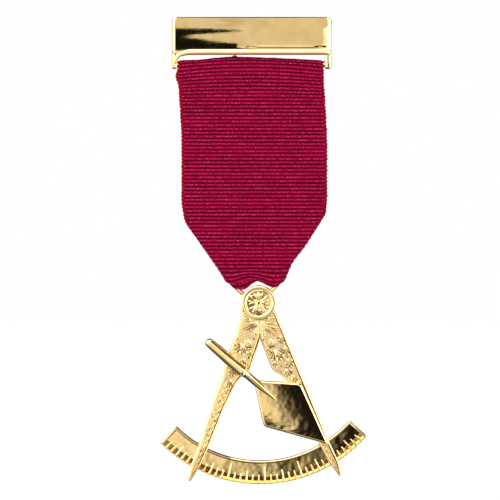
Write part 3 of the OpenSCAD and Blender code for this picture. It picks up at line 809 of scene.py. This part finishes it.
relief_gilt = gilt("relief gilt", (0.93, 0.69, 0.34), 0.12, 0.2)
ground_gilt = gilt("sunk ground gilt", (0.88, 0.65, 0.34), 0.34, 0.46, grain=0.5)
compasses = bmesh.new()
front = plate(compasses, OUTLINE, LEG_FRONT, LEG_BACK)
rounded(compasses, front.edges[:], 0.3, 3)
front = front_face(compasses)
bmesh.ops.inset_region(compasses, faces=[front], thickness=BORDER - 0.3, use_even_offset=True)
bmesh.ops.inset_region(compasses, faces=[front], thickness=0.12, depth=-SUNK, use_even_offset=True)
front.material_index = 1
for side in (-1, 1):
    bmesh.ops.bisect_plane(compasses, geom=compasses.verts[:] + compasses.edges[:] + compasses.faces[:],
                           plane_co=(side * LEG_TIP[0], 0, LEG_TIP[1]),
                           plane_no=(side * 0.44, 0, -0.9), clear_outer=True)
    rim = [e for e in compasses.edges if e.is_boundary]
    bmesh.ops.holes_fill(compasses, edges=rim)
    rounded(compasses, rim, 0.22, 3)

GROUND = LEG_FRONT + SUNK
# Leaves of the relief. Columns: root across and up, heading, reach, petals, spread, width.
LEAVES = [(-4.55, -10.4, -110, 3.6, 7, 64, 0.7), (-5.7, -8.0, -112, 2.2, 4, 30, 0.5),
          (-2.5, -12.2, -108, 2.4, 4, 24, 0.5), (-6.6, -13.2, -112, 3.0, 5, 40, 0.58),
          (-4.3, -14.3, -108, 2.7, 5, 40, 0.58), (-6.9, -16.8, -114, 3.0, 5, 38, 0.56),
          (-7.9, -19.9, -115, 2.8, 5, 34, 0.5),
          (3.9, -12.2, -84, 3.8, 7, 64, 0.7), (5.2, -8.6, -64, 2.8, 5, 36, 0.54),
          (6.2, -11.6, -64, 3.0, 5, 38, 0.56), (6.9, -14.7, -66, 3.1, 5, 38, 0.56),
          (2.2, -12.0, -70, 2.0, 3, 18, 0.45), (6.4, -17.5, -62, 2.9, 6, 46, 0.56),
          (8.4, -19.2, -67, 2.8, 5, 32, 0.5), (3.5, -15.3, -80, 2.2, 4, 32, 0.5)]
# The fan below the head, both sides alike. Columns: tip across and up, bend.
NECK = [(4.9, -5.6, 0.3), (5.4, -6.9, 0.55), (5.7, -8.3, 0.8), (5.0, -8.9, 0.6), (4.2, -8.9, 0.4),
        (3.3, -8.7, 0.3), (2.4, -8.8, 0.2), (1.5, -9.0, 0.1), (0.5, -9.1, 0)]
# Cuts on the legs, painted dark as shade. Columns: start across and up, end across and up, width.
CUTS = [(2.85, -6.5, 4.65, -8.06, 0.2), (1.91, -6.62, 3.91, -9.02, 0.15), (1.17, -6.78, 2.77, -8.6, 0.13),
        (2.13, -5.73, 3.72, -5.47, 0.15), (-0.64, -5.27, -4.58, -6.67, 0.17),
        (-0.83, -5.63, -4.01, -7.38, 0.14), (-2.48, -4.98, -3.67, -4.56, 0.12),
        (-2.47, -4.61, -3.71, -2.89, 0.13), (1.6, -5.12, 2.19, -4.02, 0.13),
        (-5.91, -10.25, -5.28, -11.76, 0.12), (-6.74, -12.87, -5.24, -12.32, 0.15),
        (5.25, -12.04, 6.12, -13.65, 0.22), (5.98, -12.44, 6.59, -13.48, 0.16),
        (4.16, -14.14, 5.22, -15.67, 0.15), (5.17, -14.36, 6.51, -15.81, 0.18),
        (2.79, -15.96, 3.5, -17.1, 0.14), (5.08, -16.78, 5.62, -17.26, 0.2),
        (6.08, -17.47, 7.19, -17.45, 0.2), (7.26, -18.16, 8.71, -19.14, 0.18),
        (1.88, -12.85, 3.03, -11.78, 0.2), (-8.91, -19.35, -9.56, -20.09, 0.12),
        (-8.65, -22.44, -9.31, -23.32, 0.1), (-10.82, -25.26, -11.69, -25.95, 0.16),
        (-10.0, -24.92, -10.52, -24.36, 0.1), (-13.03, -28.98, -13.42, -29.87, 0.1),
        (-15.55, -34.13, -15.03, -34.7, 0.12), (-14.75, -34.34, -14.59, -35.07, 0.15),
        (-15.06, -35.51, -14.81, -36.15, 0.15)]
# Punched dots, painted dark as shade. Columns: across, up.
DOTS = [(-1.11, -8.28), (-1.62, -9.47), (-2.74, -12.41), (-3.18, -14.54), (0.87, -9.84), (2.56, -14.74),
        (4.78, -9.51), (5.35, -10.6), (7.11, -14.62), (7.64, -16.96), (-8.06, -21.01), (-9.42, -23.71),
        (-11.66, -28.66), (-12.7, -30.94), (-14.22, -33.1), (-16.61, -38.8)]
STROKES = 24
FINE_CUTS = 17
# Both legs have the fan, a bud with its scroll and a cut painted dark as shade, strokes down the leg
# and fine cuts across its tip, painted dark as shade.
for side in (-1, 1):
    for tip_x, tip_z, bend in NECK:
        petal(compasses, (side * 0.5, -4.9), (side * tip_x, tip_z), -side * bend, 0.5, 0.2, GROUND)
    for tip_x, tip_z in ((4.6, -4.1), (4.2, -2.9)):
        petal(compasses, (side * 2.2, -4.6), (side * tip_x, tip_z), side * 0.2, 0.5, 0.2, GROUND)
    petal(compasses, (side * 3.0, -9.5), (side * 3.0, -11.0), 0, 1.0, 0.2, GROUND)
    volute(compasses, (side * 2.95, -10.3), 1.35, 90, -side * 1.1, 0.18, GROUND - 0.06)
    petal(compasses, (side * 2.1, -11.5), (side * 4.0, -11.4), -side * 0.3, 0.42, 0.26, GROUND, SHADE_PAINTED_CUT)
    for step in range(STROKES):
        z = -20.6 - step * 0.95
        x = 9.0 + (-21.4 - z) * 0.446
        lean = 0.75 if step % 2 else -0.1
        petal(compasses, (side * (x - 0.6 + lean), z + 0.7), (side * (x + 0.25 + lean * 0.6), z - 0.75),
              side * (0.25 if step % 2 else -0.25), 0.42, 0.16, GROUND)
    for step in range(FINE_CUTS):
        z = -38.2 - step * 0.42
        x = 16.05 + (-38.2 - z) * 0.45
        petal(compasses, (side * (x - 0.6), z - 0.25), (side * (x + 0.5), z + 0.35), 0, 0.1, 0.22,
              GROUND, SHADE_PAINTED_CUT)
for x, z, heading, reach, count, spread, width in LEAVES:
    spray(compasses, (x, z), heading, reach, count, spread, width, 0.17, GROUND)
for x_1, z_1, x_2, z_2, width in CUTS:
    petal(compasses, (x_1, z_1), (x_2, z_2), 0.08, width, 0.33, GROUND, SHADE_PAINTED_CUT)
for x, z in DOTS:
    petal(compasses, (x - 0.15, z + 0.2), (x + 0.1, z - 0.2), 0, 0.4, 0.31, GROUND, SHADE_PAINTED_CUT)

# The head is turned: a flat flange round a sunk ground, with a thin raised ring between them.
FORWARD = Matrix.Rotation(math.radians(90), 4, "X")
lathe(compasses, [(0, 5.44), (4.35, 5.44), (HEAD_R, 5.64), (HEAD_R, 6.8), (4.46, 6.98), (4.3, 7.06),
                  (3.62, 7.06), (3.5, 6.98), (3.44, 7.12), (3.34, 7.17), (3.24, 7.1), (3.16, 6.9),
                  (0, 6.85)], FORWARD, 64)
# Petals of the rosette. Columns: direction, reach, width, bend.
ROSETTE = [(90, 3.05, 1.5, 0), (66, 2.85, 1.0, 0.25), (114, 2.85, 1.0, -0.25), (-90, 2.75, 1.4, 0),
           (-66, 2.6, 0.9, -0.2), (-114, 2.6, 0.9, 0.2), (163, 2.95, 0.75, 0.3), (186, 2.7, 0.7, -0.2),
           (208, 2.95, 0.7, 0.3), (20, 2.95, 0.75, -0.35), (-3, 2.6, 0.7, 0.3), (-28, 2.95, 0.7, -0.3),
           (138, 3.0, 0.6, 0.2), (42, 3.0, 0.6, -0.2), (233, 3.0, 0.55, 0), (-52, 3.0, 0.55, 0)]
# The cuts between them, painted dark as shade, by direction.
ROSETTE_CUTS = [78, 102, 127, 150, 175, 197, 220, -78, -102, -40, -16, 8, 31, 54]
for direction, reach, width, bend in ROSETTE:
    out = Vector((math.cos(math.radians(direction)), math.sin(math.radians(direction))))
    petal(compasses, out * 0.5, out * reach, bend, width, 0.3, HEAD_GROUND)
for direction in ROSETTE_CUTS:
    out = Vector((math.cos(math.radians(direction)), math.sin(math.radians(direction))))
    petal(compasses, out * 1.3, out * 2.9, 0, 0.16, 0.27, HEAD_GROUND, SHADE_PAINTED_CUT)
# A cut painted dark as shade below the rosette.
petal(compasses, (-0.9, -2.75), (0.9, -2.75), -0.25, 0.4, 0.3, HEAD_GROUND, SHADE_PAINTED_CUT)
lathe(compasses, [(0.2, 6.8), (0.3, 7.2), (0.45, 7.32), (0.6, 7.25), (0.68, 7.1), (0.75, 6.8)], FORWARD, 20)
# A dot painted dark as shade in the middle of the rosette.
petal(compasses, (0, 0.3), (0, -0.3), 0, 0.45, 0.25, HEAD_GROUND, SHADE_PAINTED_CUT)
bmesh.ops.transform(compasses, matrix=PENDANT, verts=compasses.verts)

# The eye behind the head, which turns on the ring's lower bar.
EYE_X = 1.015
EYE_BORE = 0.58
lathe(compasses, [(EYE_BORE, -1.2), (1.0, -1.2), (1.1, -1.1), (1.1, 1.1), (1.0, 1.2), (EYE_BORE, 1.2),
                  (EYE_BORE, -1.2)],
      Matrix.Translation((EYE_X, ROD_Y, BAR_OF_RING)) @ ACROSS, 32)
block(compasses, (EYE_X - 1.15, LEG_BACK - 0.2, BAR_OF_RING - 0.9),
      (EYE_X + 1.15, ROD_Y - 0.66, BAR_OF_RING + 0.9), 0.1)
compasses_piece = put(compasses, "compasses_engraved", "pendant", "engraved_gilt", relief_gilt, ground_gilt,
                      shade_painted_gilt)
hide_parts("compasses")

# The arc is a cast gilt band with a raised rim along its inner edge and raised degree marks along its
# outer edge, between which it slopes back. It is let into the backs of the legs.
ARC_CENTRE = -10.9
ARC_IN = 31.15
ARC_OUT = 37.36
ARC_HALF = 47
MARKS = 18
MARK_STEP = 2.583
MARK_WIDE = 0.72
MARK_LONG = 4.7
MARK_MIDDLE = 3.4
MARK_SHORT = 2.5
MARK_FRONT = -6.56
MARK_BACK = -5.5
# The band's section. Columns: radius, forward.
SECTION = [(ARC_IN, 5.3), (ARC_IN, 6.3), (31.22, 6.46), (31.36, 6.56), (31.55, 6.58), (31.72, 6.52),
           (31.84, 6.42), (31.9, 6.3), (35.4, 6.3), (37.1, 5.5), (37.14, 6.1), (37.2, 6.22), (37.3, 6.22),
           (ARC_OUT, 6.1), (ARC_OUT, 5.3)]
arc = bmesh.new()
slice_face = arc.faces.new([arc.verts.new((r, -depth, 0)) for r, depth in SECTION])
bmesh.ops.rotate(arc, verts=slice_face.verts, cent=(0, 0, 0),
                 matrix=Matrix.Rotation(math.radians(90 - ARC_HALF), 3, "Y"))
bmesh.ops.spin(arc, geom=[slice_face], cent=(0, 0, 0), axis=(0, 1, 0), dvec=(0, 0, 0),
               angle=math.radians(2 * ARC_HALF), steps=72, use_merge=False)


def radial(angle):
    """From a part that points along X to the same part at an angle round the arc, 0 at its middle."""
    return Matrix.Rotation(math.radians(90 - angle), 4, "Y")


# Every sixth mark is long and every third one middling. The two at the ends are bars across the band.
for i in range(-MARKS, MARKS + 1):
    length = MARK_LONG if i % 6 == 0 else MARK_MIDDLE if i % 3 == 0 else MARK_SHORT
    at_end = abs(i) == MARKS
    if at_end:
        length = ARC_OUT - ARC_IN - 0.15
    mark = bmesh.new()
    block(mark, (ARC_OUT - 0.1 - length, MARK_FRONT, -MARK_WIDE / 2),
          (ARC_OUT - 0.1, MARK_BACK, MARK_WIDE / 2), 0.3, 4)
    for vert in mark.verts:
        if not at_end:
            vert.co.z *= 1 - 0.55 * smooth((ARC_OUT - 0.9 - vert.co.x) / (length - 0.8))
    bmesh.ops.transform(mark, matrix=radial(i * MARK_STEP), verts=mark.verts)
    marked = bpy.data.meshes.new("mark")
    mark.to_mesh(marked)
    mark.free()
    arc.from_mesh(marked)
    bpy.data.meshes.remove(marked)
bmesh.ops.transform(arc, matrix=PENDANT @ Matrix.Translation((0, 0, ARC_CENTRE)), verts=arc.verts)
arc_piece = put(arc, "arc_graduated", "pendant", "polished_gilt", rippled_gilt, sharp=15)
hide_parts("arc")

# The trowel is a casting of its own, fixed in front of the legs: a kite blade with a ground edge,
# a tapering shank that ends on the blade, and a turned handle that is flat behind. All of it is gilt.
BLADE_CORNER = Vector((-2.05, 0, -20.4))
BLADE_ANGLE = 42.7
BLADE_BACK = -7.05
BLADE_FRONT = -7.95
BLADE_DOMED = 0.12
HANDLE_Y = -8.05
# The blade's outline from its back corner. Columns: towards the point, across.
BLADE = [(0, 0), (9.9, -7.55), (26.1, 0), (9.9, 7.55)]
trowel = bmesh.new()
plate(trowel, BLADE, BLADE_FRONT, BLADE_BACK)
side_corners = [e for e in trowel.edges if abs(e.verts[0].co.y - e.verts[1].co.y) > 0.5
                and abs(e.verts[0].co.z) > 1]
rounded(trowel, side_corners, 0.9, 4)
front_edges = [e for e in trowel.edges if all(abs(v.co.y - BLADE_FRONT) < 1e-4 for v in e.verts)]
rounded(trowel, front_edges, 0.42, 2)
bmesh.ops.inset_region(trowel, faces=[front_face(trowel)], thickness=0.12, use_even_offset=True)
sliced(trowel, 0, range(2, 26, 2))
sliced(trowel, 2, range(-6, 7, 2))
for vert in trowel.verts:
    if vert.co.y < BLADE_FRONT + 0.3:
        t, s = (vert.co.x - 11) / 14, vert.co.z / 7.5
        vert.co.y += BLADE_DOMED * (t * t + s * s)
# The handle, its collar and the shank, from end to end. Columns: radius, towards the blade's point.
HANDLE = [(0, -16.5), (0.45, -16.42), (0.85, -16.15), (1.1, -15.75), (1.19, -15.31), (1.42, -9.5),
          (1.62, -4.2), (1.62, -3.85), (1.3, -3.6), (1.1, -3.55), (1.02, -3.3), (1.12, -3.05),
          (1.12, -2.75), (1.0, -2.5), (0.95, -2.3), (0.96, 1.0), (0.72, 4.4), (0.3, 7.6), (0, 7.8)]
lathe(trowel, HANDLE, Matrix.Translation((0, HANDLE_Y, 0)) @ ACROSS, 40)
bmesh.ops.bisect_plane(trowel, geom=trowel.verts[:] + trowel.edges[:] + trowel.faces[:],
                       plane_co=(0, BLADE_BACK, 0), plane_no=(0, 1, 0), clear_outer=True, dist=1e-5)
bmesh.ops.holes_fill(trowel, edges=[e for e in trowel.edges if e.is_boundary])
bmesh.ops.transform(trowel, matrix=PENDANT @ Matrix.Translation(BLADE_CORNER)
                    @ Matrix.Rotation(math.radians(BLADE_ANGLE), 4, "Y"), verts=trowel.verts)
trowel_piece = put(trowel, "trowel_cast", "pendant", "polished_gilt", rippled_gilt)
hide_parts("trowel")
